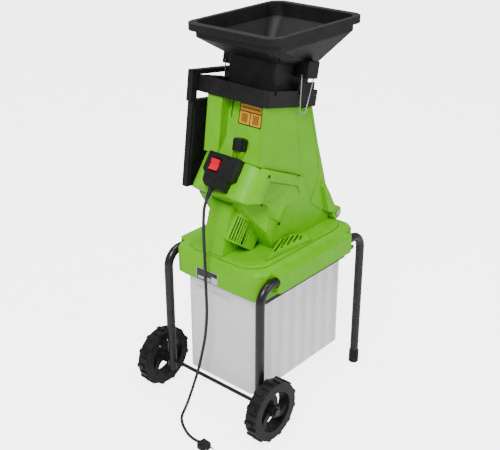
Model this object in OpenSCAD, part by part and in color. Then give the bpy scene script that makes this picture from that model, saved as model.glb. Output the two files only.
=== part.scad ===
// Electric garden chipper: a feed hopper on a tilting tower, a motor housing with an
// inclined blade disc, a base cover on four tube legs, two wheels and a sliding bin.
// Millimetres, +Z up. The operator's side (wheels, switch, knob) faces -Y.
// The origin is on the floor, under the middle of the machine's outline.

/* [Hopper] */
// Width of the hopper rim, across the machine
rim_x = 301; // [280:1:320]
// Depth of the hopper rim, front to back
rim_y = 380; // [350:1:400]
// Height of the hopper rim above the floor
rim_z = 1068; // [1060:1:1080]
// Wall thickness of the hopper
hopper_wall = 3; // [2.5:0.1:4]
// Lean of the feed neck towards the back, in degrees
neck_lean = 12; // [10:0.5:13]

/* [Housings] */
// Width of the tilting tower
tower_x = 190; // [180:1:196]
// Wall thickness of the plastic housings
shell = 3.5; // [3:0.1:4]
// Width of the motor housing
housing_x = 216; // [212:1:220]
// Lean of the motor from the vertical, in degrees
motor_lean = 36; // [35:0.5:37]

/* [Base and legs] */
// Width of the base cover's front face
base_x = 306; // [300:1:307]
// Depth of the base cover
base_y = 430; // [426:1:434]
// Distance between the left and right legs, centre to centre
leg_span_x = 333; // [332:1:336]
// Distance between the front and back legs, centre to centre
leg_span_y = 452; // [450:1:456]
// Outer diameter of the leg tube
tube_d = 25; // [24:0.5:26]
// Inside bend radius of the leg tube, to its centre line
bend_r = 45; // [42:1:48]

/* [Wheels] */
// Wheel diameter over the tread
wheel_d = 178; // [170:1:180]
// Wheel width
wheel_w = 37; // [34:1:38]
// Distance between the wheels, centre to centre
track = 410; // [408:1:414]
// Axle diameter
axle_d = 11; // [10:0.5:12]

/* [Bin] */
// Outer width of the bin
bin_x = 250; // [244:1:252]
// Outer depth of the bin
bin_y = 396; // [390:1:398]
// Height of the bin's floor above the ground
bin_z = 79; // [75:1:90]
// Height of the bin's rim above the ground
bin_top = 384; // [380:1:385]

/* [Cord] */
// Cord diameter
cord_d = 8.4; // [8:0.1:9]

/* [Hidden] */
$fn = 64;
eps = 0.01;
side_gap = 0.5;              // gap between parts that move past each other
run_gap = 0.05;              // radial running clearance
green = "yellowgreen";
black = "dimgray";

// Shift that centres the machine's outline on the origin
foot_r = 15;
wheel_r = wheel_d/2;
axle_y = -leg_span_y/2;
y_front = axle_y - wheel_r;
y_back = leg_span_y/2 + foot_r;
y_shift = -(y_front + y_back)/2;

// Legs
leg_x = leg_span_x/2;
leg_y = leg_span_y/2;
tube_r = tube_d/2;
rail_z = 440;                // height of the level stretch of the leg tubes
tube_wall = 1.5;
leg_end_y = 95;              // where the level stretch ends, inside the base cover
front_leg_bottom = 58;
back_leg_bottom = 6;

// Base cover
base_bottom = 389;
base_top = 470;
deck_top = 479;
flange_bottom = 408;
flange_top = 460;
flange_x = 364;
flange_y = 330;

// Feed neck frame: its origin is the middle of the tower's top edge
neck_y = -30;
neck_z = 866;
tower_half_y = 100;
collar_h = 42;
collar_x = 206;
neck_x = 156;
neck_w = 140;
cone_z = 967;                // height where the hopper's slopes meet the neck
cone_y = 12;
cone_w = 176;
neck_cy = 20;                // middle of the neck's section, in the neck frame
throat_lip = 5.5;            // height where the neck stands on the throat
rim_cy = 29;
band_z = rim_z - 38;
lip_h = 18;

// Motor frame: its origin is on the motor axis at the blade disc
disc_y = -50;
disc_z = 650;
front_plane = -133.5;        // front wall of the motor housing, from the motor axis
chin = -87;                  // bottom of the front wall, along the motor axis
disc_r = 78;
shaft_r = 8;

// Seam between the motor housing and the tower, in the side view (y, z)
seam = [[-260, 785.5], [-148, 736.5], [23, 662], [73, 563], [140, 518], [230, 478]];

// Hinge of the tower
hinge_y = 188;
hinge_z = 500;
hinge_r = 19;
pin_r = 5;
arm_in = 84;                 // inner face of each tower arm
arm_out = 107;

// Knob
knob_x = 22;
knob_y = -140.5;
knob_z = 762;
knob_r = 18.5;

// Switch: height of the switch box's top edge, along the motor axis
sw_top = 13.2;

module in_frame() translate([0, y_shift, 0]) children();
module neck_frame() translate([0, neck_y, neck_z]) rotate([-neck_lean, 0, 0]) children();
module motor_frame() translate([0, disc_y, disc_z]) rotate([-motor_lean, 0, 0]) children();
module switch_frame() motor_frame() translate([0, front_plane, sw_top]) rotate([90, 0, 0]) children();
module knob_frame() translate([knob_x, knob_y, knob_z]) rotate([-neck_lean, 0, 0]) children();

// Rounded rectangle, rounded block and a bar along X
module rrect(x, y, r) {
    square([x - 2*r, y], center = true);
    square([x, y - 2*r], center = true);
    for (sx = [-1, 1], sy = [-1, 1])
        translate([sx*(x/2 - r), sy*(y/2 - r)]) circle(r);
}
module block(x, y, z, r) linear_extrude(z) rrect(x, y, r);
module side_profile(points, x) rotate([90, 0, 90])
    translate([0, 0, -x/2]) linear_extrude(x) polygon(points);
module rod_x(r, x0, x1) translate([x0, 0, 0]) rotate([0, 90, 0]) cylinder(r = r, h = x1 - x0);
module both_sides() { children(); mirror([1, 0, 0]) children(); }

// Legs: one bent steel tube each, plugged into the base cover's side flanges
module tube_path(r, side, bottom) {
    // side is the direction in which the tube turns inwards, along Y
    translate([0, 0, bottom]) cylinder(r = r, h = rail_z - bend_r - bottom);
    translate([0, side*bend_r, rail_z - bend_r]) rotate([90, 0, -side*90])
        rotate_extrude(angle = 90) translate([bend_r, 0]) circle(r);
    translate([0, side*bend_r, rail_z]) rotate([-side*90, 0, 0])
        cylinder(r = r, h = leg_y - leg_end_y - bend_r);
}
module leg(side_x, side_y, bottom) {
    in_frame() difference() {
        translate([side_x*leg_x, side_y*leg_y, 0]) tube_path(tube_r, -side_y, bottom);
        translate([side_x*leg_x, side_y*leg_y, 0])
            tube_path(tube_r - tube_wall, -side_y, bottom - eps);
        translate([side_x*leg_x, side_y*leg_end_y, rail_z]) rotate([side_y*90, 0, 0])
            translate([0, 0, -1]) cylinder(r = tube_r - tube_wall, h = 2);
        if (side_y < 0) translate([0, axle_y, wheel_r])
            rod_x(axle_d/2 + run_gap, side_x*leg_x - 20, side_x*leg_x + 20);
    }
}
module leg_front_left() { color(black) leg(-1, -1, front_leg_bottom); }
module leg_front_right() { color(black) leg(1, -1, front_leg_bottom); }
module leg_back_left() { color(black) leg(-1, 1, back_leg_bottom); }
module leg_back_right() { color(black) leg(1, 1, back_leg_bottom); }

// Feet: moulded caps pushed over the back legs
module foot(side_x) {
    in_frame() translate([side_x*leg_x, leg_y, 0]) difference() {
        cylinder(r = foot_r, h = 40);
        translate([0, 0, back_leg_bottom]) cylinder(r = tube_r, h = 40);
    }
}
module foot_left() { color(black) foot(-1); }
module foot_right() { color(black) foot(1); }

// Running gear: a plain axle through the front legs, with a wheel and a push nut at each end
axle_end = track/2 + wheel_w/2 + 5;
hub_r = 17;
tread_h = 5;
module at_axle() in_frame() translate([0, axle_y, wheel_r]) children();
module axle() { color("silver") at_axle() rod_x(axle_d/2, -axle_end, axle_end); }
module spoke() intersection() {
    translate([34, 12, 0]) difference() {
        cylinder(r = 44, h = wheel_w - 13, center = true);
        cylinder(r = 26, h = wheel_w, center = true);
    }
    translate([34, -22, 0]) cube([60, 44, wheel_w], center = true);
}
module wheel(side_x) {
    at_axle() translate([side_x*track/2, 0, 0]) rotate([0, 90, 0]) difference() {
        union() {
            difference() {
                cylinder(r = wheel_r - tread_h, h = wheel_w, center = true, $fn = 96);
                cylinder(r = 58, h = wheel_w + 2, center = true);
            }
            cylinder(r = hub_r, h = wheel_w, center = true);
            for (k = [0:2]) rotate([0, 0, 90 + 120*k]) spoke();
            for (k = [0:23]) rotate([0, 0, 15*k])
                translate([wheel_r/2 + 30, 0, (k % 2)*10 - 5])
                    cube([wheel_r - 60, 12, wheel_w - 11], center = true);
        }
        difference() {
            cylinder(r = wheel_r + 20, h = wheel_w + 2, center = true);
            cylinder(r = wheel_r, h = wheel_w + 4, center = true, $fn = 96);
        }
        cylinder(r = axle_d/2 + run_gap, h = wheel_w + 2, center = true);
    }
}
module wheel_left() { color(black) wheel(-1); }
module wheel_right() { color(black) wheel(1); }
module axle_spacers() {
    color("gray") at_axle() both_sides() difference() {
        rod_x(9, leg_x + tube_r + 0.4, track/2 - wheel_w/2 - 0.3);
        rod_x(axle_d/2, leg_x, track/2);
    }
}
module push_nuts() {
    color("silver") at_axle() both_sides() difference() {
        rod_x(10, track/2 + wheel_w/2 + 0.3, axle_end + 1.5);
        rod_x(axle_d/2, track/2, axle_end);
    }
}

// Base cover: a skirted lid with a flange along each side that hides the leg tubes
module base_cover() {
    color(green) in_frame() difference() {
        union() {
            translate([0, 0, base_bottom]) block(base_x, base_y, base_top - 14 - base_bottom, 28);
            hull() {
                translate([0, 0, base_top - 14]) block(base_x, base_y, eps, 28, $fn = 32);
                translate([0, 0, base_top - 4]) block(base_x - 12, base_y - 12, eps, 24, $fn = 32);
                translate([0, 0, base_top - eps]) block(base_x - 24, base_y - 24, eps, 20, $fn = 32);
            }
            translate([0, 0, flange_bottom]) block(flange_x, flange_y, flange_top - flange_bottom, 12);
            // tab at the back right corner
            translate([base_x/2 - 16, base_y/2 - 16, base_bottom]) cube([16, 16, 10]);
        }
        translate([0, 0, base_bottom - 1])
            block(base_x - 2*shell, base_y - 2*shell, base_top - 18 - base_bottom, 25);
        translate([0, 0, base_bottom - 1])
            block(base_x - 24, base_y - 24, base_top - 3 - base_bottom, 20);
        translate([0, 0, flange_bottom - 1])
            block(flange_x - 2*shell, flange_y - 2*shell, flange_top - shell - flange_bottom + 1, 9);
        // chip outlet
        translate([-80, 15, base_top - 10]) cube([160, 140, 20]);
        // holes for the leg tubes in the flange ends
        both_sides() translate([leg_x, flange_y/2 + 10, rail_z]) rotate([90, 0, 0])
            cylinder(r = tube_r, h = flange_y + 20);
        // rounded hollows where the tubes go in
        both_sides() for (sy = [-1, 1]) translate([leg_x + 4, sy*(flange_y/2 + 12), rail_z])
            sphere(r = 19);
    }
}
module base_screws() {
    color("gray") in_frame() for (p = [[-118, -165], [118, -165], [-118, 160], [118, 160]])
        translate([p[0], p[1], base_top - 12]) cylinder(r = 2.4, h = 12 + 4);
}
module leg_screws() {
    color("gray") in_frame() both_sides() for (sy = [-1, 1])
        translate([leg_x, sy*(leg_end_y + 20), rail_z - tube_r - 4]) cylinder(r = 5, h = 4);
}
// Rails under the base cover that carry the bin by its rim
module bin_rail(side_x) {
    in_frame() mirror([side_x < 0 ? 1 : 0, 0, 0]) {
        translate([143, -180, 371]) cube([3, 360, base_top - 19 - 371]);
        translate([128, -180, 371]) cube([15, 360, 4.4]);
    }
}
module bin_rail_left() { color(black) bin_rail(-1); }
module bin_rail_right() { color(black) bin_rail(1); }

// Bin: an open box with a rim, finger recesses in its front and back, and fluted sides
module bin() {
    wall = 2.6;
    color("white", 0.8) in_frame() difference() {
        union() {
            translate([0, 0, bin_z]) block(bin_x, bin_y, bin_top - bin_z, 22);
            translate([0, 0, bin_top - 8]) block(bin_x + 30, bin_y + 4, 8, 14);
        }
        difference() {
            translate([0, 0, bin_z + wall]) block(bin_x - 2*wall, bin_y - 2*wall, bin_top - bin_z, 19);
            for (sy = [-1, 1]) translate([26*sy, sy*(bin_y/2 - 9), 347])
                cube([128 + 2*wall, 24, 26 + 2*wall], center = true);
        }
        for (sy = [-1, 1]) translate([26*sy, sy*(bin_y/2 - 6), 347])
            cube([128, 24, 26], center = true);
        both_sides() for (k = [-6:6])
            translate([bin_x/2 + 2.2, k*26, bin_z + 12]) cylinder(r = 3.4, h = 270, $fn = 24);
    }
}
module rating_plate() {
    color("dimgray") in_frame() translate([-30, -base_y/2 - 0.6, 408])
        rotate([90, 0, 0]) translate([0, 0, -0.6]) linear_extrude(0.6) rrect(78, 38, 3);
}

// Motor housing: a drum round the inclined motor, a chip duct behind it and a tail cover
module below_seam(gap) side_profile(concat([[-400, 200], [-400, 847 - gap]],
    [for (p = seam) [p[0], p[1] - gap]], [[400, 380 - gap], [400, 200]]), 500);
module drum_solid(t) {
    // t is the inset from the outer surface
    motor_frame() translate([0, (front_plane + 60)/2, chin + t]) linear_extrude(260)
        rrect(housing_x - 2*t, 60 - front_plane - 2*t, 50 - t);
}
// Lower part of the housing: the chip duct at the back and the slanted chin below the drum.
// Its sides draw in towards the deck.
module duct_solid(t) intersection() {
    side_profile([[-72 + t, 460 - 2*t], [-162 + 1.6*t, 620], [-120, 690 + t], [23, 663 + t],
        [73, 565], [140, 520], [172 - t, 500], [176 - t, 460 - 2*t]], housing_x - 2 - 2*t);
    translate([0, 300, 0]) rotate([90, 0, 0]) linear_extrude(600)
        polygon([[-84 + t, 460 - 2*t], [84 - t, 460 - 2*t], [107 - t, 630], [107 - t, 760],
            [-107 + t, 760], [-107 + t, 630]]);
}
// Arched recess at the right of the tail, t wider and deeper than its surface
module arch(t) translate([78, -158, 604]) rotate([0, 0, 37]) translate([0, 22 + t, 0])
    rotate([90, 0, 0]) linear_extrude(150) {
        circle(r = 44 + t);
        translate([-44 - t, -200]) square([88 + 2*t, 200]);
    }
// Shallow panel let into each side
module side_panel() both_sides() translate([203.2, 0, 0]) side_profile([[-119, 691], [-1, 642],
    [16, 604], [36, 553], [34, 400], [-220, 400], [-220, 640], [-150, 640]], 200);
module arm_clearance(extra) both_sides() translate([0, hinge_y, hinge_z])
    rod_x(hinge_r + extra, arm_in - side_gap, 140);
module lower_housing() {
    wall = 6;
    color(green) in_frame() difference() {
        union() {
            intersection() {
                union() {
                    difference() {
                        union() {
                            drum_solid(0);
                            duct_solid(0);
                        }
                        drum_solid(wall);
                        duct_solid(wall);
                    }
                    intersection() {
                        arch(shell);
                        union() {
                            drum_solid(1);
                            duct_solid(1);
                        }
                    }
                }
                below_seam(side_gap);
                translate([-200, -300, deck_top]) cube([400, 600, 400]);
            }
            // wall between the motor and the chip duct
            intersection() {
                side_profile([[4, deck_top], [8, deck_top], [15, 566], [11, 566]], 2*100);
                duct_solid(3);
            }
            // boss under the knob
            intersection() {
                translate([knob_x - 11, -180, 700]) cube([22, 58, 60]);
                below_seam(side_gap);
                drum_solid(1);
            }
            // lugs for the hinge pins
            both_sides() translate([0, hinge_y, hinge_z]) rod_x(13, 64, arm_in - 2*side_gap);
            both_sides() translate([64, hinge_y - 22, deck_top]) cube([18, 22, 20]);
        }
        arch(0);
        side_panel();
        arm_clearance(1);
        translate([0, hinge_y, hinge_z]) rod_x(pin_r, -100, 100);
        // pocket for the knob's stud, open towards the back for the tilt
        knob_frame() translate([0, 0, -54]) {
            cylinder(r = 5, h = 70);
            translate([-4.9, 0, 0]) cube([9.8, 24, 70]);
        }
        // opening for the motor and its tail cover
        motor_frame() translate([0, 0, chin - 60]) cylinder(r = 41, h = 80);
        // wire hole behind the switch
        switch_frame() translate([0, -45, -8]) cylinder(r = 7, h = 20);
        // slot for the safety pin
        translate([80, -140, 712]) cube([14, 28, 40]);
    }
}
// Deck: the low plate that closes the base cover and carries the motor housing
module deck() {
    color(green) in_frame() difference() {
        translate([0, -6, base_top]) block(272, 402, deck_top - base_top, 60);
        translate([-80, 15, base_top - 10]) cube([160, 140, 30]);
        // opening under the side grille
        translate([104, -110, base_top - 1]) cube([18, 100, 30]);
    }
}
// Tail cover over the lower end of the motor: a sloping box with a half-round louvred side
module tail_box(t) translate([-19, 0, 0]) side_profile([[-100, deck_top - 20*t], [-207 + t, deck_top - 20*t],
    [-174 + t, 584 - t], [-160, 620], [-60, 620]], 74 - 2*t);
module tail_round(t) motor_frame() translate([22, -18, -184 + t]) {
    cylinder(r = 29 - t, h = 130);
    translate([-22, 0, 0]) cube([51 - t, 63 - t, 130]);
}
module tail_cover() {
    color(green) in_frame() difference() {
        union() {
            tail_box(0);
            tail_round(0);
        }
        tail_box(shell);
        tail_round(shell);
        drum_solid(0);
        duct_solid(0);
        translate([-200, -300, deck_top - 100]) cube([400, 600, 100]);
        for (k = [0:8]) motor_frame() translate([22, -18, -180]) rotate([0, 0, -72 + 15*k])
            translate([20, -1.5, 0]) cube([20, 3, 64]);
    }
}
module housing_screws() {
    color("gray") in_frame() {
        both_sides() for (p = [[-122, 706, 108], [-70, 553, 96], [40, 600, 103]])
            translate([0, p[0], p[1]]) rod_x(2.2, p[2] - 10, p[2] - 1.5);
    }
}
// Slanted grille over the cooling-air inlet in the deck
module grille_outline(t) polygon([[122 - t/2, -152 + 3*t], [137 - t, 26 - 2*t],
    [107 + t/2, 12 - t], [88.5 + t, -52 + t]]);
module grille_wedge(t) intersection() {
    translate([0, 0, deck_top]) linear_extrude(40) grille_outline(t);
    side_profile([[-170, deck_top - 1], [-170, 484 - t], [40, 509 - t], [40, deck_top - 1]], 400);
    translate([0, 300, 0]) rotate([90, 0, 0]) linear_extrude(600)
        polygon([[60, deck_top - 1], [60, 519 - t], [140, 485 - t], [140, deck_top - 1]]);
}
module deck_grille() {
    color(green) in_frame() difference() {
        grille_wedge(0);
        grille_wedge(2.5);
        intersection() {
            translate([0, 0, deck_top]) linear_extrude(60) grille_outline(5);
            for (k = [0:7]) translate([112 + 1.5*k, -160 + 25*k, deck_top]) rotate([0, 0, 18])
                cube([4.6, 130, 60]);
        }
        duct_solid(-0.2);
        drum_solid(-0.2);
    }
}

// Drive: motor, fan and blade disc on one inclined shaft
module motor_bracket() {
    color("silver") in_frame() difference() {
        motor_frame() translate([0, (front_plane + 75)/2, -33]) linear_extrude(4)
            rrect(housing_x - 24, 75 - front_plane - 28, 43);
        motor_frame() translate([0, 0, -60]) cylinder(r = 17, h = 60);
        translate([-150, 3, 400]) cube([300, 200, 300]);
    }
}
module motor_stator() {
    color("slategray") in_frame() motor_frame() translate([0, 0, -116]) difference() {
        cylinder(r = 38, h = 60);
        translate([0, 0, -1]) cylinder(r = 29, h = 62);
    }
}
module motor_windings() {
    color("peru") in_frame() motor_frame() for (z = [-128, -56]) translate([0, 0, z]) difference() {
        cylinder(r = 36.5, h = 12);
        translate([0, 0, -1]) cylinder(r = 31, h = 14);
    }
}
module motor_rotor() {
    color("gray") in_frame() motor_frame() translate([0, 0, -118]) difference() {
        cylinder(r = 28, h = 64);
        translate([0, 0, -1]) cylinder(r = shaft_r, h = 66);
    }
}
module motor_shaft() {
    color("silver") in_frame() motor_frame() translate([0, 0, -156]) cylinder(r = shaft_r, h = 164);
}
module bearing(z, r, h) {
    in_frame() motor_frame() translate([0, 0, z]) difference() {
        cylinder(r = r, h = h);
        translate([0, 0, -1]) cylinder(r = shaft_r + run_gap, h = h + 2);
    }
}
module upper_bearing() { color("lightgray") bearing(-42, 17, 13); }
module lower_bearing() { color("lightgray") bearing(-156, 15, 9); }
module cooling_fan() {
    color("dimgray") in_frame() motor_frame() translate([0, 0, -145]) difference() {
        union() {
            cylinder(r = 14, h = 10);
            cylinder(r = 34, h = 2);
            for (k = [0:8]) rotate([0, 0, 40*k]) translate([12, -1, 0]) cube([21, 2, 10]);
        }
        translate([0, 0, -1]) cylinder(r = shaft_r, h = 12);
    }
}
module brush_holders() {
    color("saddlebrown") in_frame() motor_frame() both_sides()
        translate([28.5, -6, -134]) cube([7.5, 12, 5.5]);
}
module blade_disc() {
    color("silver") in_frame() motor_frame() difference() {
        union() {
            cylinder(r = disc_r, h = 5);
            translate([0, 0, -20]) cylinder(r = 16, h = 22);
        }
        translate([0, 0, -25]) cylinder(r = shaft_r, h = 40);
    }
}
module cutting_blades() {
    color("gainsboro") in_frame() motor_frame() for (a = [0, 180]) rotate([0, 0, a])
        translate([22, -16, 5]) difference() {
            cube([52, 32, 4]);
            for (x = [14, 38]) translate([x, 16, -1]) cylinder(r = 3.1, h = 6);
        }
}
module blade_bolts() {
    color("gray") in_frame() motor_frame() for (a = [0, 180], x = [14, 38]) rotate([0, 0, a])
        translate([22 + x, 0, 5]) {
            cylinder(r = 3, h = 4);
            translate([0, 0, 4]) cylinder(r = 5.5, h = 2.5);
        }
}
module disc_bolt() {
    color("gray") in_frame() motor_frame() translate([0, 0, 8]) cylinder(r = 11, h = 7, $fn = 6);
}

// Tower: the tilting upper housing with the feed throat inside it
tower = [[-127.5, 887], [70, 842], [97, 742], [124, 662], [150, 579], [176, 527], [200, 500],
    [188, 481], [140, 500], [60, 540], [0, 640], [-151, 715]];
tower_in = [[-123.6, 882.6], [67.4, 839.1], [93.6, 741.2], [120.5, 661], [146.4, 577.5],
    [158, 545], [150, 480], [60, 480], [0, 600], [-147, 690], [-144.4, 736]];
module above_seam() side_profile(concat([[-400, 1200], [-400, 847]], seam,
    [[400, 380], [400, 1200]]), 500);
// Pocket in the front face for the knob and the caution plate; t is the wall round it
module pocket(t) side_profile([[-190, 729 - t], [-154 + 0.8*t, 729 - 0.6*t],
    [-116.4 + 0.95*t, 777 - 0.45*t], [-92.3 + t, 890], [-190, 910]], 500);
module upper_housing() {
    color(green) in_frame() difference() {
        union() {
            difference() {
                union() {
                    intersection() {
                        difference() {
                            union() {
                                side_profile(tower, tower_x);
                                both_sides() translate([(arm_in + arm_out)/2, 0, 0])
                                    side_profile([[120, 600], [124, 612], [150, 572], [176, 527],
                                        [200, 500], [150, 500]], arm_out - arm_in);
                            }
                            side_profile(tower_in, tower_x - 2*shell);
                        }
                        above_seam();
                    }
                    // walls of the pocket
                    intersection() {
                        side_profile(tower, tower_x);
                        pocket(shell);
                        translate([-49, -300, 600]) cube([49 + tower_x/2, 300, 320]);
                        above_seam();
                    }
                    both_sides() translate([0, hinge_y, hinge_z]) rod_x(hinge_r, arm_in, arm_out);
                    // catches for the wire bails
                    neck_frame() translate([tower_x/2 - 2, 50, -11]) cube([14, 30, 7]);
                    neck_frame() mirror([1, 0, 0]) translate([tower_x/2 - 2, 3, -11]) cube([14, 30, 7]);
                }
                intersection() {
                    pocket(0);
                    translate([-45, -300, 600]) cube([45 + tower_x/2 - 5, 300, 320]);
                }
            }
            // boss that carries the knob
            intersection() {
                knob_frame() translate([0, 0, -40]) cylinder(r = 17, h = 40);
                above_seam();
                translate([-100, -149, 600]) cube([200, 71, 300]);
            }
        }
        // narrow slot in the pocket's back
        neck_frame() translate([-38, -75, -50]) cube([4, 20, 48]);
        // shallow step along each side, in front of the back edge
        both_sides() translate([tower_x/2 + 98.8, 0, 0]) side_profile([[2, 850], [28, 662],
            [73, 566], [112, 640], [90, 742], [62, 838]], 200);
        knob_frame() translate([0, 0, -80]) cylinder(r = 4.05, h = 90);
        knob_frame() translate([0, 0, 0.2]) cylinder(r = knob_r + 0.8, h = 60);
        translate([0, hinge_y, hinge_z]) rod_x(pin_r + run_gap, -120, 120);
        both_sides() translate([0, hinge_y, hinge_z]) rod_x(15, 60, arm_in - side_gap);
        // mouth for the feed throat
        neck_frame() translate([0, neck_cy, -60]) block(neck_x, neck_w, 80, 12);
        // room for the motor housing's lugs when the tower tilts
        both_sides() translate([62, hinge_y - 40, base_top]) cube([21.5, 60, 22]);
    }
}
module hinge_pins() {
    color("silver") in_frame() translate([0, hinge_y, hinge_z]) both_sides() {
        rod_x(pin_r, 60, arm_out + 1);
        rod_x(8, arm_out + 1, arm_out + 4);
    }
}
// Feed throat: the duct that leads branches down to the disc
module feed_throat() {
    color("dimgray") in_frame() difference() {
        neck_frame() translate([0, neck_cy, -240]) block(neck_x, neck_w, 240 + throat_lip, 12);
        neck_frame() translate([0, neck_cy, -241]) block(neck_x - 6, neck_w - 6, 250, 9);
        motor_frame() translate([-150, -200, -150]) cube([300, 400, 162]);
    }
}
module counter_blade() {
    color("gainsboro") in_frame() motor_frame() translate([-40, 44, 12.5]) cube([80, 12, 8]);
}
module caution_plate() {
    color("goldenrod") in_frame() neck_frame() translate([28, -66.05, -34]) rotate([90, 0, 0])
        linear_extrude(0.6) rrect(76, 56, 3);
}

// Collar: the cap over the tower's top, with the hook that the pusher hangs on
module collar_outline(t) translate([0, 4]) rrect(collar_x - 2*t, 218 - 2*t, 14 - t);
module feed_collar() {
    color(black) in_frame() neck_frame() difference() {
        union() {
            translate([0, 0, 0.2]) linear_extrude(collar_h) collar_outline(0);
            // hook for the pusher
            translate([0, 0, 0.2]) linear_extrude(collar_h)
                polygon([[-95, -105], [-134, -104.5], [-136, -100], [-120, -30], [-95, -30]]);
            // raised guard behind the right bail
            translate([97, 20, 10]) cube([6, 66, 54]);
        }
        translate([0, 0, 12]) linear_extrude(80) collar_outline(5);
        translate([0, 0, -1]) linear_extrude(40) translate([0, neck_cy]) rrect(neck_x + 4, neck_w + 8, 12);
        translate([0, 0, -1]) linear_extrude(80)
            polygon([[-108, -96], [-126, -96], [-127, -93], [-114, -37], [-108, -37]]);
        // notches in the wall
        for (y = [-78, 20]) translate([98, y, collar_h - 10]) cube([10, 9, 12]);
    }
}

// Hopper: rolled rim, short upright band, four sloping walls and the neck
module hopper_solid(t) {
    hull() {
        translate([0, rim_cy, band_z]) block(278 - 2*t, 340 - 2*t, eps, 32, $fn = 32);
        translate([0, cone_y, cone_z]) rotate([-neck_lean, 0, 0])
            block(cone_w - 2*t, cone_w - 2*t, eps, 16, $fn = 32);
    }
}
module hopper_neck(t) hull() {
    translate([0, cone_y, cone_z]) rotate([-neck_lean, 0, 0])
        block(neck_x + 4 - 2*t, neck_w + 20 - 2*t, eps, 12, $fn = 32);
    neck_frame() translate([0, neck_cy, throat_lip]) block(neck_x - 2*t, neck_w - 2*t, eps, 12, $fn = 32);
}
module hopper() {
    color(black) in_frame() difference() {
        union() {
            translate([0, rim_cy, rim_z - lip_h]) block(rim_x, rim_y, lip_h, 40);
            translate([0, rim_cy, band_z]) block(278, 340, rim_z - band_z, 32);
            hopper_solid(0);
            hopper_neck(0);
        }
        translate([0, rim_cy, band_z]) block(278 - 2*hopper_wall, 340 - 2*hopper_wall, 60, 29);
        translate([0, 0, hopper_wall]) hopper_solid(hopper_wall);
        hopper_neck(hopper_wall);
        neck_frame() translate([0, neck_cy, throat_lip - 2])
            block(neck_x - 2*hopper_wall, neck_w - 2*hopper_wall, 6, 9);
        translate([0, cone_y, cone_z - 3]) rotate([-neck_lean, 0, 0])
            block(neck_x - 2, neck_w + 12, 8, 10);
        // hollow under the rolled rim
        difference() {
            translate([0, rim_cy, rim_z - lip_h - 1]) block(rim_x - 6, rim_y - 6, lip_h - 2, 37);
            translate([0, rim_cy, rim_z - lip_h - 2]) block(278, 340, lip_h + 4, 32);
        }
    }
}

// Wire bails that clamp the hopper down, and the brackets that they swing in
bail_y = [42, -4];           // middle of the right and the left bail, in the neck frame
bail_z = 84;
bail_x = 109;
wire_r = 1.6;
module bail_bracket(y) {
    difference() {
        union() {
            translate([84, y - 23, bail_z - 8]) cube([39, 46, 44]);
            translate([74, y - 20, bail_z - 8]) cube([20, 40, 14]);
        }
        translate([bail_x, y - 40, bail_z]) rotate([-90, 0, 0]) cylinder(r = wire_r + run_gap, h = 80);
    }
}
module bail_brackets() {
    color(black) in_frame() difference() {
        neck_frame() {
            bail_bracket(bail_y[0]);
            mirror([1, 0, 0]) bail_bracket(bail_y[1]);
        }
        hopper_solid(0);
        hopper_neck(0);
    }
}
// One side of a bail: a pivot end, a slanted wire and half of the hooking bar
module bail_half() {
    translate([0, 15, 0]) rotate([-90, 0, 0]) cylinder(r = wire_r, h = 13.5);
    translate([0, 27, 0]) rotate([-atan(15/bail_drop), 0, 0]) translate([0, 0, -bail_len - 1])
        cylinder(r = wire_r, h = bail_len + 2);
    translate([0, -eps, -bail_drop]) rotate([-90, 0, 0]) cylinder(r = wire_r, h = 13.5);
}
bail_drop = 98;
bail_len = sqrt(bail_drop*bail_drop + 225);
module bail() { bail_half(); mirror([0, 1, 0]) bail_half(); }
module bail_right() {
    color("silver") in_frame() neck_frame() translate([bail_x, bail_y[0], bail_z]) bail();
}
module bail_left() {
    color("silver") in_frame() neck_frame() translate([-bail_x, bail_y[1], bail_z]) bail();
}

// Lock knob with its threaded stud
module knob_grip() {
    color(black) in_frame() knob_frame() translate([0, 0, 0.5]) difference() {
        union() {
            cylinder(r = knob_r, h = 29);
            cylinder(r = 12, h = 31);
        }
        for (k = [0:7]) rotate([0, 0, 45*k + 22.5]) translate([knob_r + 3.5, 0, 5])
            cylinder(r = 6, h = 40);
        translate([0, 0, -1]) cylinder(r = 4, h = 20);
    }
}
module knob_stud() {
    color("silver") in_frame() knob_frame() translate([0, 0, -46]) cylinder(r = 4, h = 65.5);
}

// Pusher: a flat ram with a grip, hung on the collar's hook
pusher_tilt = 8;
pusher_w = 150;
module pusher() {
    color(black) in_frame() translate([-131.5, -157, 866]) rotate([-pusher_tilt, 0, 0]) difference() {
        union() {
            translate([-9, 0, -232]) cube([18, pusher_w, 236]);
            translate([-9, -7, 0]) cube([18, pusher_w + 14, 82]);
            translate([-11, 8, -222]) cube([22, pusher_w - 16, 200]);
        }
        translate([-20, 15, 3]) cube([40, pusher_w - 30, 66]);
    }
}

// Switch box with the rocker and the cord
module box_outline() polygon([[-52, 0], [51, 0], [51, -57], [38, -65], [36, -91], [4, -92],
    [-24, -90], [-38, -79], [-42, -58], [-52, -50]]);
sw_depth = 24;
rocker_x = -19;
rocker_y = -32.5;
module switch_box() {
    color(black) in_frame() switch_frame() difference() {
        linear_extrude(sw_depth) box_outline();
        translate([-3, -31, -1]) linear_extrude(sw_depth - 3) rrect(86, 46, 4);
        translate([-3, -66, -1]) linear_extrude(sw_depth - 3) rrect(62, 40, 4);
        translate([rocker_x, rocker_y, 5]) linear_extrude(40) rrect(36, 38, 2);
        translate([-9, -100, sw_depth/2]) rotate([-90, 0, 0]) cylinder(r = 7, h = 40);
        for (p = [[-44, -7.5], [16, -6], [2, -74]]) translate([p[0], p[1], sw_depth - 4])
            cylinder(r = 3.4, h = 10);
    }
}
module switch_screws() {
    color("gray") in_frame() switch_frame() for (p = [[-44, -7.5], [16, -6], [2, -74]])
        translate([p[0], p[1], sw_depth - 4 + eps]) cylinder(r = 3.2, h = 2);
}
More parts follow.
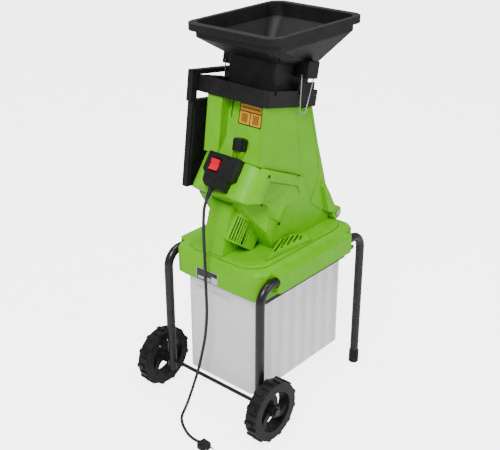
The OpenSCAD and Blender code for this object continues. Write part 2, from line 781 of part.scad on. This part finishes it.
module switch_body() {
    color("dimgray") in_frame() switch_frame() translate([rocker_x, rocker_y, 1]) difference() {
        linear_extrude(20) rrect(36, 38, 2);
        translate([0, 0, 5]) linear_extrude(40) rrect(30, 33, 1);
        translate([-30, 0, 13]) rod_x(2, -30, 90);
    }
}
module switch_rocker() {
    color("crimson") in_frame() switch_frame() translate([rocker_x, rocker_y, 14]) union() {
        rotate([90, 0, 90]) translate([0, 0, -14.3]) linear_extrude(28.6)
            polygon([[-15, 13], [0, 10.5], [15, 16], [13, 2], [4, -4], [-4, -4], [-13, 2]]);
        rod_x(1.95, -17, 17);
    }
}
gland_exit = [-9, -206, 664];
module cord_gland() {
    color(black) in_frame() switch_frame() translate([-9, -86, sw_depth/2]) rotate([90, 0, 0]) {
        difference() {
            union() {
                cylinder(r = 7, h = 6);
                translate([0, 0, 6]) cylinder(r1 = 7, r2 = 5.2, h = 28);
            }
            translate([0, 0, 33.9]) cylinder(r = 10, h = 1);
        }
    }
}

// Cord: hangs from the gland, touches the floor and runs to the plug
plug_x = 84;
plug_y = -382;
plug_z = 12.5;
cord_route = [[-9, -230, 649], [-9, -236.5, 638], [-9.3, -241, 624], [-10, -243.5, 600],
    [-11, -244, 560], [-13, -240, 480], [-14, -237, 390], [-13, -237, 312], [-20, -237, 240],
    [-31, -239, 181], [-44, -244, 118], [-52, -252, 78], [-55, -265, 45], [-53, -283, 20],
    [-47, -303, 7.5], [-36, -324, 4.6], [-18, -342, 4.5], [6, -357, 4.5], [33, -370, 5.2],
    [59, -378, 8.5], [plug_x, plug_y, plug_z]];
module power_cord() {
    color(black) in_frame() tube_along(cord_route, cord_d/2, 10, 20);
}
// Sweeps a round tube along a smooth curve through the points, with a ring about every pitch
function unit(v) = v/norm(v);
function curve_at(p0, p1, p2, p3, t) = 0.5*(2*p1 + (p2 - p0)*t
    + (2*p0 - 5*p1 + 4*p2 - p3)*t*t + (3*p1 - p0 - 3*p2 + p3)*t*t*t);
function smooth(p, pitch) = let (n = len(p) - 1) concat([for (i = [0:n - 1])
    let (a = p[max(i - 1, 0)], d = p[min(i + 2, n)], k = max(1, round(norm(p[i + 1] - p[i])/pitch)))
        for (j = [0:k - 1]) curve_at(a, p[i], p[i + 1], d, j/k)], [p[n]]);
module tube_along(points, r, sides, pitch) {
    c = smooth(points, pitch);
    n = len(c) - 1;
    side_ref = unit([0.9, 0.43, 0]);
    rings = [for (i = [0:n]) let (t = unit(c[min(i + 1, n)] - c[max(i - 1, 0)]),
        u = unit(cross(t, side_ref)), v = cross(t, u))
            for (k = [0:sides - 1]) c[i] + r*(cos(360*k/sides)*u + sin(360*k/sides)*v)];
    polyhedron(rings, concat([[for (k = [0:sides - 1]) k]],
        [for (i = [0:n - 1], k = [0:sides - 1]) let (m = (k + 1) % sides)
            [i*sides + k, (i + 1)*sides + k, (i + 1)*sides + m, i*sides + m]],
        [[for (k = [sides - 1:-1:0]) n*sides + k]]));
}
// Plug with its pins, lying on the floor at the end of the cord
module plug_frame() translate([plug_x, plug_y, plug_z]) rotate([0, 90, -4]) children();
module plug_body() {
    color(black) in_frame() plug_frame() difference() {
        union() {
            cylinder(r1 = 6, r2 = 8, h = 12);
            translate([0, 0, 9]) linear_extrude(25) rrect(24, 30, 7);
        }
        translate([0, 0, -1]) cylinder(r = 9, h = 1);
    }
}
module plug_pins() {
    color("silver") in_frame() plug_frame() for (y = [-8, 8])
        translate([0, y, 34]) cylinder(r = 2, h = 15);
}

// Safety switch that the closed tower presses through a pin
module interlock_switch() {
    color("dimgray") in_frame() translate([80, -132, 690]) cube([16, 22, 21]);
}
module interlock_pin() {
    color(black) in_frame() difference() {
        translate([81, -127, 712]) cube([10.5, 12, 46]);
        translate([70, -130, 700]) cube([6, 20, 20]);
    }
}

leg_front_left();
leg_front_right();
leg_back_left();
leg_back_right();
foot_left();
foot_right();
axle();
wheel_left();
wheel_right();
axle_spacers();
push_nuts();
base_cover();
base_screws();
leg_screws();
bin_rail_left();
bin_rail_right();
bin();
rating_plate();
deck();
lower_housing();
tail_cover();
housing_screws();
deck_grille();
motor_bracket();
motor_stator();
motor_windings();
motor_rotor();
motor_shaft();
lower_bearing();
upper_bearing();
cooling_fan();
brush_holders();
blade_disc();
cutting_blades();
blade_bolts();
disc_bolt();
hinge_pins();
interlock_switch();
interlock_pin();
switch_box();
switch_body();
switch_rocker();
switch_screws();
cord_gland();
power_cord();
plug_body();
plug_pins();
upper_housing();
feed_throat();
counter_blade();
caution_plate();
feed_collar();
hopper();
bail_brackets();
bail_left();
bail_right();
knob_grip();
knob_stud();
pusher();
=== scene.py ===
import math
import bmesh
import bpy
from mathutils import Matrix, Vector


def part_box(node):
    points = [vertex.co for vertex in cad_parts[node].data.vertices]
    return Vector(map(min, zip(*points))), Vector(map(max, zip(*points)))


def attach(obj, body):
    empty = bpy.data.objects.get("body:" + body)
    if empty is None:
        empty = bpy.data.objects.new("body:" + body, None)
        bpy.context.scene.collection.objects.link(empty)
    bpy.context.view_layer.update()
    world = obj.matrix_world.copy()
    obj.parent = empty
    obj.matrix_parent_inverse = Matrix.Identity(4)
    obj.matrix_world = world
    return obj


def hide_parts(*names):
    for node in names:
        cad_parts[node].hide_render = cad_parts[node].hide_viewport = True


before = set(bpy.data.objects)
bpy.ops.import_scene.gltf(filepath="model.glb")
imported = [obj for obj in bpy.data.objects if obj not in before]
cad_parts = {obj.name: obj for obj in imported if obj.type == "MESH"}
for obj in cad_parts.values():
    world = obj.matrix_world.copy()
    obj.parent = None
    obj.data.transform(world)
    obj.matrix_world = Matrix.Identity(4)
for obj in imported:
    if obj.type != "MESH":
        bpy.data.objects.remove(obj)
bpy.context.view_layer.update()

# Camera: stands to the right of the operator's side, above the hopper's rim, and looks
# down at the whole machine.
camera = bpy.data.objects.new("camera", bpy.data.cameras.new("camera"))
bpy.context.scene.collection.objects.link(camera)
camera.data.lens = 64.73
camera.data.sensor_width = 36.0
camera.location = (1.449, -1.7225, 1.5724)
looks_down, turned_right = math.radians(25.33), math.radians(40.65)
camera.rotation_euler = (math.radians(90) - looks_down, 0, turned_right)
bpy.context.scene.camera = camera


# Power cord: 8.4 mm rubber-sheathed flex. It leaves the strain relief under the switch
# box, hangs down the front, bends where it meets the floor and runs to its plug.
class Shade:
    """A socket in a finish's node tree, so that shader maths reads as Python."""

    def __init__(self, finish, socket):
        self.finish, self.socket = finish, socket

    def math(self, operation, *values):
        return self.finish.node("Math", {"operation": operation}, *values)

    def __add__(self, other): return self.math("ADD", self, other)
    def __radd__(self, other): return self.math("ADD", other, self)
    def __sub__(self, other): return self.math("SUBTRACT", self, other)
    def __rsub__(self, other): return self.math("SUBTRACT", other, self)
    def __mul__(self, other): return self.math("MULTIPLY", self, other)
    def __rmul__(self, other): return self.math("MULTIPLY", other, self)
    def __gt__(self, other): return self.math("GREATER_THAN", self, other)
    def __lt__(self, other): return self.math("LESS_THAN", self, other)
    def clamp(self): return self.finish.node("Clamp", {}, self)


class Finish:
    """A Principled material; node() makes any other node and returns its first output."""

    def __init__(self, name, **constants):
        self.material = bpy.data.materials.new(name)
        self.material.use_nodes = True
        self.tree = self.material.node_tree
        self.shader = self.tree.nodes["Principled BSDF"]
        self.material.diffuse_color = constants.get("Base_Color", (0.5, 0.5, 0.5, 1))
        for key, value in constants.items():
            self.shader.inputs[key.replace("_", " ")].default_value = value
        self.place = self.node("TexCoord", {}, output="Object")

    def node(self, kind, settings, *values, output=0, **named):
        made = self.tree.nodes.new("ShaderNode" + kind)
        for key, value in settings.items():
            setattr(made, key, value)
        for key, value in [*enumerate(values), *named.items()]:
            socket = made.inputs[key.replace("_", " ") if isinstance(key, str) else key]
            if isinstance(value, Shade):
                self.tree.links.new(value.socket, socket)
            else:
                socket.default_value = value
        return Shade(self, made.outputs[output])

    def noise(self, scale, detail=2.0, place=None):
        return self.node("TexNoise", {}, Vector=place or self.place, Scale=scale, Detail=detail)

    def ramp(self, value, *stops):
        made = self.tree.nodes.new("ShaderNodeValToRGB")
        self.tree.links.new(value.socket, made.inputs[0])
        while len(made.color_ramp.elements) < len(stops):
            made.color_ramp.elements.new(0.5)
        for element, (position, colour) in zip(made.color_ramp.elements, stops):
            element.position, element.color = position, (*colour, 1)
        return Shade(self, made.outputs[0])

    def mix(self, amount, a, b):
        made = self.tree.nodes.new("ShaderNodeMix")
        made.data_type = "RGBA"
        for socket, value in zip((made.inputs[0], made.inputs[6], made.inputs[7]), (amount, a, b)):
            if isinstance(value, Shade):
                self.tree.links.new(value.socket, socket)
            else:
                socket.default_value = (*value, 1) if isinstance(value, tuple) else value
        return Shade(self, made.outputs[2])

    def drive(self, name, value):
        self.tree.links.new(value.socket, self.shader.inputs[name])

    def bump(self, height, strength, distance):
        self.drive("Normal", self.node("Bump", {}, Strength=strength, Distance=distance,
                                       Height=height))


def finished(piece, finish, body, *nodes):
    """Gives a piece its finish, and says which body it rides on and what it stands for."""
    piece.data.materials.clear()
    piece.data.materials.append(finish.material)
    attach(piece, body)
    if nodes:
        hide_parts(*nodes)
    return piece


flex_rubber = Finish("flex_rubber", Roughness=0.5, Specular_IOR_Level=0.4)
scuffs = flex_rubber.noise(90.0, 3.0)
flex_rubber.drive("Base Color", flex_rubber.ramp(scuffs, (0.35, (0.012, 0.012, 0.013)),
                                                 (0.7, (0.03, 0.03, 0.032))))
flex_rubber.drive("Roughness", scuffs * 0.25 + 0.38)
flex_rubber.bump(flex_rubber.noise(900.0), 0.3, 0.0002)

origin_shift = 0.037  # the cord, wells and label are placed from a zero this far behind the origin
sheath_radius = 0.0042
cord_points = [(-9, -230, 649), (-9, -236.5, 638), (-9.3, -241, 624), (-10, -243.5, 600),
               (-11, -244, 560), (-13, -240, 480), (-14, -237, 390), (-13, -237, 312),
               (-20, -237, 240), (-31, -239, 181), (-44, -244, 118), (-52, -252, 78),
               (-55, -265, 45), (-53, -283, 20), (-47, -303, 7.5), (-36, -324, 4.6),
               (-18, -342, 4.5), (6, -357, 4.5), (33, -370, 5.2), (59, -378, 8.5),
               (84, -382, 12.5)]
cord_route = [Vector((x, y + 1000 * origin_shift, z)) / 1000 for x, y, z in cord_points]
flex = bpy.data.curves.new("power_flex", "CURVE")
flex.dimensions = "3D"
flex.bevel_depth = sheath_radius
flex.bevel_resolution = 6
flex.resolution_u = 8
flex.use_fill_caps = True
spline = flex.splines.new("BEZIER")
spline.bezier_points.add(len(cord_route) - 1)
for i, knot in enumerate(spline.bezier_points):
    before, after = cord_route[max(i - 1, 0)], cord_route[min(i + 1, len(cord_route) - 1)]
    reach = (after - before) / 6
    knot.co = cord_route[i]
    knot.handle_left, knot.handle_right = cord_route[i] - reach, cord_route[i] + reach
cord = bpy.data.objects.new("power_flex", flex)
bpy.context.scene.collection.objects.link(cord)
finished(cord, flex_rubber, "base", "power_cord")

# Strain relief and plug: black rubber moulded onto the flex. The relief is a plain tapered sleeve;
# the plug is a rounded block with two round nickel-plated pins.
def softened(node, width=0.0012, segments=2, angle=34, crease=32):
    """A copy of a CAD node's mesh, merged, with its flat faces joined and its edges rounded."""
    shape = bmesh.new()
    shape.from_mesh(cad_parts[node].data)
    bmesh.ops.remove_doubles(shape, verts=shape.verts, dist=0.00002)
    bmesh.ops.dissolve_limit(shape, angle_limit=math.radians(0.6), verts=shape.verts,
                             edges=shape.edges, use_dissolve_boundaries=False)
    return moulded(shape, node + "_moulding", width, segments, angle, crease)


def moulded(shape, name, width=0.0012, segments=2, angle=34, crease=32):
    """Turns a mesh in the making into a smooth-shaded piece whose edges are rounded."""
    for face in shape.faces:
        face.smooth = True
    mesh = bpy.data.meshes.new(name)
    shape.to_mesh(mesh)
    shape.free()
    mesh.set_sharp_from_angle(angle=math.radians(crease))
    piece = bpy.data.objects.new(name, mesh)
    bpy.context.scene.collection.objects.link(piece)
    if width:
        edge = piece.modifiers.new("rounded_edges", "BEVEL")
        edge.width, edge.segments, edge.limit_method = width, segments, "ANGLE"
        edge.angle_limit, edge.harden_normals = math.radians(angle), True
        edge.use_clamp_overlap = True
    return piece


def coated(finish, *nodes):
    """Gives CAD nodes whose own shape is right their finish."""
    for node in nodes:
        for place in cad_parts[node].material_slots:
            place.material = finish.material


def plastic(name, dark, light, roughness, grain=1400.0, depth=0.0001, edge=0.0012, sheen=0.22):
    """Moulded plastic: a little mottling, a fine spark-eroded grain and softly rounded edges."""
    made = Finish(name, Specular_IOR_Level=sheen)
    mottle = made.noise(26.0, 4.0)
    made.drive("Base Color", made.ramp(mottle, (0.3, dark), (0.7, light)))
    made.drive("Roughness", made.noise(70.0, 3.0) * 0.14 + (roughness - 0.07))
    rounded = made.node("Bevel", {"samples": 4}, Radius=edge)
    made.drive("Normal", made.node("Bump", {}, Strength=0.35, Distance=depth,
                                   Height=made.noise(grain, 2.0), Normal=rounded))
    return made


rubber = plastic("moulded_rubber", (0.008, 0.008, 0.009), (0.02, 0.02, 0.021), 0.6, 900.0, 0.0002)
relief = softened("cord_gland", 0.0006)
finished(relief, rubber, "base", "cord_gland")
plug_case = softened("plug_body", 0.0012, 3)
finished(plug_case, rubber, "base", "plug_body")


def metal(name, dark, light, roughness, scale=(1, 1, 1)):
    """Drawn or turned metal: streaks along the way it was worked, and small scratches."""
    made = Finish(name, Metallic=1.0)
    lay = made.node("Mapping", {}, made.place, Scale=scale)
    streak = made.noise(420.0, 4.0, lay)
    made.drive("Base Color", made.ramp(streak, (0.3, dark), (0.7, light)))
    made.drive("Roughness", streak * 0.22 + (roughness - 0.11))
    rounded = made.node("Bevel", {"samples": 4}, Radius=0.0006)
    made.drive("Normal", made.node("Bump", {}, Strength=0.25, Distance=0.0001, Height=streak,
                                   Normal=rounded))
    return made


nickel = metal("nickel_plate", (0.5, 0.48, 0.45), (0.68, 0.66, 0.62), 0.25)
coated(nickel, "plug_pins")

# Stand: four bent 25 mm steel tubes, powder-coated satin black. The back pair end in rubber
# feet, the front pair carry a black axle with plain spacers and pressed cap nuts.
powder = plastic("black_powder_coat", (0.004, 0.004, 0.0042), (0.008, 0.008, 0.0084), 0.3, 700.0,
                 0.00016, 0.0006, 0.5)
for leg in ("leg_front_left", "leg_front_right", "leg_back_left", "leg_back_right"):
    tube = softened(leg, 0.0006, 1, 50, 40)
    finished(tube, powder, "base", leg)
for name in ("foot_left", "foot_right"):
    foot = softened(name, 0.0015, 3)
    finished(foot, rubber, "base", name)
coated(powder, "axle")
zinc = metal("zinc_plate", (0.35, 0.35, 0.36), (0.55, 0.55, 0.56), 0.35)
coated(powder, "push_nuts")
coated(rubber, "axle_spacers")

# Bin: a translucent polypropylene box drawn out from under the cover. Vertical flutes stiffen its
# sides, a grip is let into each end, and its rim runs on the cover's rails.
# The finish also gives off a faint, even white glow: painted light, since the bin is no lamp.
milky = Finish("milky_polypropylene_painted_glow", Roughness=0.42, Specular_IOR_Level=0.4,
               Subsurface_Weight=0.25, Subsurface_Scale=0.01, Subsurface_Radius=(1, 1, 1),
               Emission_Color=(1, 1, 1, 1), Emission_Strength=0.16)
haze = milky.noise(7.0, 3.0)
bands = milky.node("TexWave", {"wave_type": "BANDS", "bands_direction": "Y"}, Vector=milky.place,
                   Scale=6.2, Distortion=0.6, Detail=1.0)
milky.drive("Base Color", milky.ramp(haze * 0.5 + bands * 0.5, (0.2, (0.68, 0.685, 0.69)),
                                     (0.8, (0.95, 0.955, 0.96))))
milky.drive("Roughness", milky.noise(60.0, 3.0) * 0.15 + 0.36)
round_lip = milky.node("Bevel", {"samples": 4}, Radius=0.003)
milky.drive("Normal", milky.node("Bump", {}, Strength=0.3, Distance=0.0002,
                                 Height=milky.noise(500.0, 2.0), Normal=round_lip))
tub = softened("bin", 0.0014, 2)
finished(tub, milky, "bin", "bin")

# Base cover and deck: one green injection-moulded lid over the stand, with a skirt round the bin,
# and a slightly raised deck plate that the motor housing stands on. Blackened screws join them.
green = plastic("green_housing_plastic", (0.128, 0.47, 0.0), (0.15, 0.52, 0.0), 0.42,
                1100.0, 0.00012, 0.0055)
for name in ("base_cover", "deck"):
    cover = softened(name, 0.0028, 4, 40)
    finished(cover, green, "base", name)
grille = softened("deck_grille", 0.0008, 2)
finished(grille, green, "base", "deck_grille")
dark_screw = metal("blackened_screw", (0.02, 0.02, 0.02), (0.06, 0.06, 0.06), 0.45)
coated(dark_screw, "base_screws", "leg_screws", "housing_screws")
black = plastic("black_moulded_plastic", (0.005, 0.005, 0.0052), (0.0095, 0.0095, 0.0098), 0.42,
                800.0, 0.00025, 0.0016, 0.28)
coated(black, "bin_rail_left", "bin_rail_right")

# Rating plate: a small label on the front skirt, black with three blank pale fields
# and a thin pale border.
label = Finish("rating_label", Roughness=0.35)


def across_and_up(finish, place):
    """The x and z of a place, for marks on a plate that faces the front."""
    axes = finish.node("SeparateXYZ", {}, place).socket.node.outputs
    return Shade(finish, axes[0]), Shade(finish, axes[2])


def field(spot, x0, x1, z0, z1):
    """1 inside a rectangle of the plate that spot lies on, 0 outside."""
    across, up = spot
    return (across > x0) * (across < x1) * (up > z0) * (up < z1)


spot = across_and_up(label, label.place)
low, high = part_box("rating_plate")
width, height = high[0] - low[0], high[2] - low[2]
pale_fields = 0
for x0, x1, z0, z1 in ((0.40, 0.66, 0.10, 0.42), (0.70, 0.97, 0.08, 0.60),
                       (0.08, 0.34, 0.16, 0.34), (0.02, 0.98, 0.955, 0.99),
                       (0.02, 0.98, 0.01, 0.045), (0.0, 0.02, 0.0, 1.0), (0.98, 1.0, 0.0, 1.0)):
    pale_fields = field(spot, low[0] + width*x0, low[0] + width*x1,
                        low[2] + height*z0, low[2] + height*z1) + pale_fields
label.drive("Base Color", label.mix(pale_fields.clamp(), (0.012, 0.012, 0.013), (0.62, 0.62, 0.62)))
label.bump(label.noise(1800.0), 0.2, 0.00005)
coated(label, "rating_plate")

# Wheels: hard black plastic rims with staggered tread blocks,
# three broad spokes and a plain hub on the axle.
tyre = plastic("wheel_plastic", (0.005, 0.005, 0.0052), (0.0105, 0.0105, 0.0108), 0.48, 700.0,
               0.0003, 0.0018, 0.25)
for side in ("wheel_left", "wheel_right"):
    wheel = softened(side, 0.0016, 3, 36)
    finished(wheel, tyre, side, side)

# Motor housing and tail cover: green mouldings round the slanted motor. The parting line to the
# tower is a narrow gap, and the louvres in the tail let out the cooling air.
for name in ("lower_housing", "tail_cover"):
    shell = softened(name, 0.0022, 3, 38)
    finished(shell, green, "base", name)

# Screw wells: six plain dark discs, three on each side of the housing, that stand for its screw
# recesses: dark partly for their blackened screws and partly as painted shade in the hollows.
# Each is sunk a little into the wall it stands on.
wells = bmesh.new()
well_radius, well_depth = 0.0042, 0.0022
for x, y, z in ((0.1063, -0.122, 0.706), (0.1053, -0.150, 0.637), (0.0962, -0.066, 0.551)):
    for way in (-1, 1):
        ring = bmesh.ops.create_circle(wells, cap_ends=True, radius=well_radius,
                                       segments=24)["verts"]
        grown = bmesh.ops.extrude_face_region(wells, geom=[ring[0].link_faces[0]])
        top = [v for v in grown["geom"] if isinstance(v, bmesh.types.BMVert)]
        bmesh.ops.translate(wells, vec=(0, 0, well_depth), verts=top)
        place = (Matrix.Translation((way * x, y + origin_shift, z))
                 @ Matrix.Rotation(way * math.pi / 2, 4, "Y"))
        bmesh.ops.transform(wells, matrix=place, verts=ring + top)
bmesh.ops.recalc_face_normals(wells, faces=wells.faces)
# The discs' dark colour paints the recesses' shade as well as their blackened screws.
recess_shade_discs = moulded(wells, "screw_recess_painted_shade", 0.0003, 2)
finished(recess_shade_discs, dark_screw, "base")

# Drive, out of sight inside the housing: motor, fan, blade disc and its hardened knives.
lamination = metal("motor_laminations", (0.10, 0.10, 0.11), (0.2, 0.2, 0.21), 0.5, (1, 1, 12))
copper = metal("copper_winding", (0.55, 0.22, 0.10), (0.75, 0.33, 0.16), 0.35, (1, 1, 9))
turned = metal("turned_steel", (0.40, 0.40, 0.41), (0.6, 0.6, 0.61), 0.3, (1, 1, 6))
knife = metal("ground_knife_steel", (0.5, 0.5, 0.51), (0.7, 0.7, 0.71), 0.22, (14, 1, 1))
grey = plastic("grey_plastic", (0.11, 0.11, 0.112), (0.15, 0.15, 0.152), 0.5)
coated(lamination, "motor_stator", "motor_rotor", "lower_bearing", "upper_bearing")
coated(copper, "motor_windings")
coated(turned, "motor_bracket", "motor_shaft", "blade_disc", "disc_bolt", "hinge_pins", "knob_stud")
coated(knife, "cutting_blades", "counter_blade")
coated(zinc, "blade_bolts")
coated(grey, "cooling_fan", "brush_holders", "feed_throat")
coated(black, "interlock_switch", "interlock_pin")

# Tower: the tall green upper housing, hinged at the back, with a pocket in its front for the knob
# and the amber plate.
tower = softened("upper_housing", 0.0022, 3, 38)
finished(tower, green, "tower", "upper_housing")

# Amber plate: a self-adhesive label with a black border, one blank strip and two blank boxes.
# Its marks are measured in its own plane, which leans back with the tower's neck.
amber = Finish("amber_label", Roughness=0.4)
neck_lean = math.radians(12)
spot = across_and_up(amber, amber.node("Mapping", {"vector_type": "TEXTURE"}, amber.place,
                                       Location=(0.028, -30 / 1000 + origin_shift, 0.866),
                                       Rotation=(-neck_lean, 0, 0)))
frame_lines = (1 - field(spot, -0.0350, 0.0350, -0.0590, -0.0090)
               + field(spot, -0.0350, 0.0350, -0.0280, -0.0250)
               + field(spot, -0.0015, 0.0015, -0.0590, -0.0280)).clamp()
marks = (field(spot, -0.029, -0.008, -0.055, -0.032) + field(spot, 0.008, 0.029, -0.055, -0.032)
         + field(spot, -0.03, 0.03, -0.019, -0.0135)).clamp()
plate_colour = amber.mix(marks, (0.72, 0.36, 0.004), (0.30, 0.12, 0.0))
amber.drive("Base Color", amber.mix(frame_lines, plate_colour, (0.01, 0.01, 0.01)))
amber.bump(amber.noise(1500.0), 0.2, 0.00005)
coated(amber, "caution_plate")

# Knob: a black fluted hand knob on a steel stud.
# It clamps the tower down, and turns without limit.
knob = softened("knob_grip", 0.0014, 3)
finished(knob, black, "knob", "knob_grip")

# Collar and hopper: grained black polyethylene. The collar caps the tower and carries the hook
# for the pusher; the hopper's neck stands in it, and its rim is rolled over.
hide = plastic("coarse_black_plastic", (0.0055, 0.0055, 0.0058), (0.0115, 0.0115, 0.0118), 0.5,
               520.0, 0.0005, 0.002, 0.26)
for name in ("feed_collar", "bail_brackets"):
    part = softened(name, 0.0018, 3)
    finished(part, hide, "tower", name)
bell = softened("hopper", 0.0022, 3, 30)
finished(bell, hide, "tower", "hopper")

# Bails: spring-steel wire loops, bright zinc. They swing in the hopper's brackets
# and hook over the catches on the tower.
for side in ("bail_left", "bail_right"):
    wire = softened(side, 0)
    finished(wire, zinc, side, side)

# Pusher: a flat black plastic ram with a grip window at its top,
# hung on the collar's hook.
ram = softened("pusher", 0.0024, 3)
finished(ram, hide, "pusher", "pusher")

# Switch box: a black moulding screwed to the housing's front, which holds the switch's body
# and its red rocker.
for name in ("switch_box", "switch_body"):
    half = softened(name, 0.0014, 3)
    finished(half, black, "base", name)
scarlet = plastic("red_rocker_plastic", (0.62, 0.0, 0.018), (0.74, 0.0, 0.028), 0.34, 900.0,
                  0.0001, 0.0012)
key_cap = softened("switch_rocker", 0.0008, 3)
finished(key_cap, scarlet, "rocker", "switch_rocker")
coated(dark_screw, "switch_screws")

# Floor and light: a plain pale floor under soft studio light. Floor and surroundings look bright
# to the camera only; what they shed on the object is much weaker.
floor_mesh = bpy.data.meshes.new("floor")
plate = bmesh.new()
bmesh.ops.create_grid(plate, x_segments=1, y_segments=1, size=60)
plate.to_mesh(floor_mesh)
plate.free()
floor = bpy.data.objects.new("floor", floor_mesh)
bpy.context.scene.collection.objects.link(floor)
pale = Finish("pale_floor", Base_Color=(0.8, 0.8, 0.8, 1), Roughness=0.9,
              Specular_IOR_Level=0.1, Emission_Strength=4.0)
seen_by_camera = pale.node("LightPath", {})
pale.drive("Emission Color", pale.mix(seen_by_camera, (0.0, 0.0, 0.0), (1.0, 1.0, 1.0)))
floor.data.materials.append(pale.material)
world = bpy.data.worlds.new("studio")
world.use_nodes = True
sky = world.node_tree
seen, tint = sky.nodes.new("ShaderNodeLightPath"), sky.nodes.new("ShaderNodeMix")
tint.data_type = "RGBA"
tint.inputs[6].default_value, tint.inputs[7].default_value = (0.1, 0.1, 0.1, 1), (1, 1, 1, 1)
sky.links.new(seen.outputs[0], tint.inputs[0])
sky.links.new(tint.outputs[2], sky.nodes["Background"].inputs[0])
sky.nodes["Background"].inputs[1].default_value = 5.0
bpy.context.scene.world = world
lit_point = Vector((0, 0, 0.6))
for name, at, size, power in (("key", (1.0, -2.3, 3.3), 1.2, 130),
                              ("fill", (2.8, 0.9, 1.6), 1.6, 30),
                              ("top", (-0.3, 0.1, 3.8), 1.4, 60)):
    lamp = bpy.data.lights.new(name, "AREA")
    lamp.size, lamp.energy = size, power
    stand = bpy.data.objects.new(name, lamp)
    stand.location = at
    stand.rotation_euler = (lit_point - Vector(at)).to_track_quat("-Z", "Y").to_euler()
    bpy.context.scene.collection.objects.link(stand)
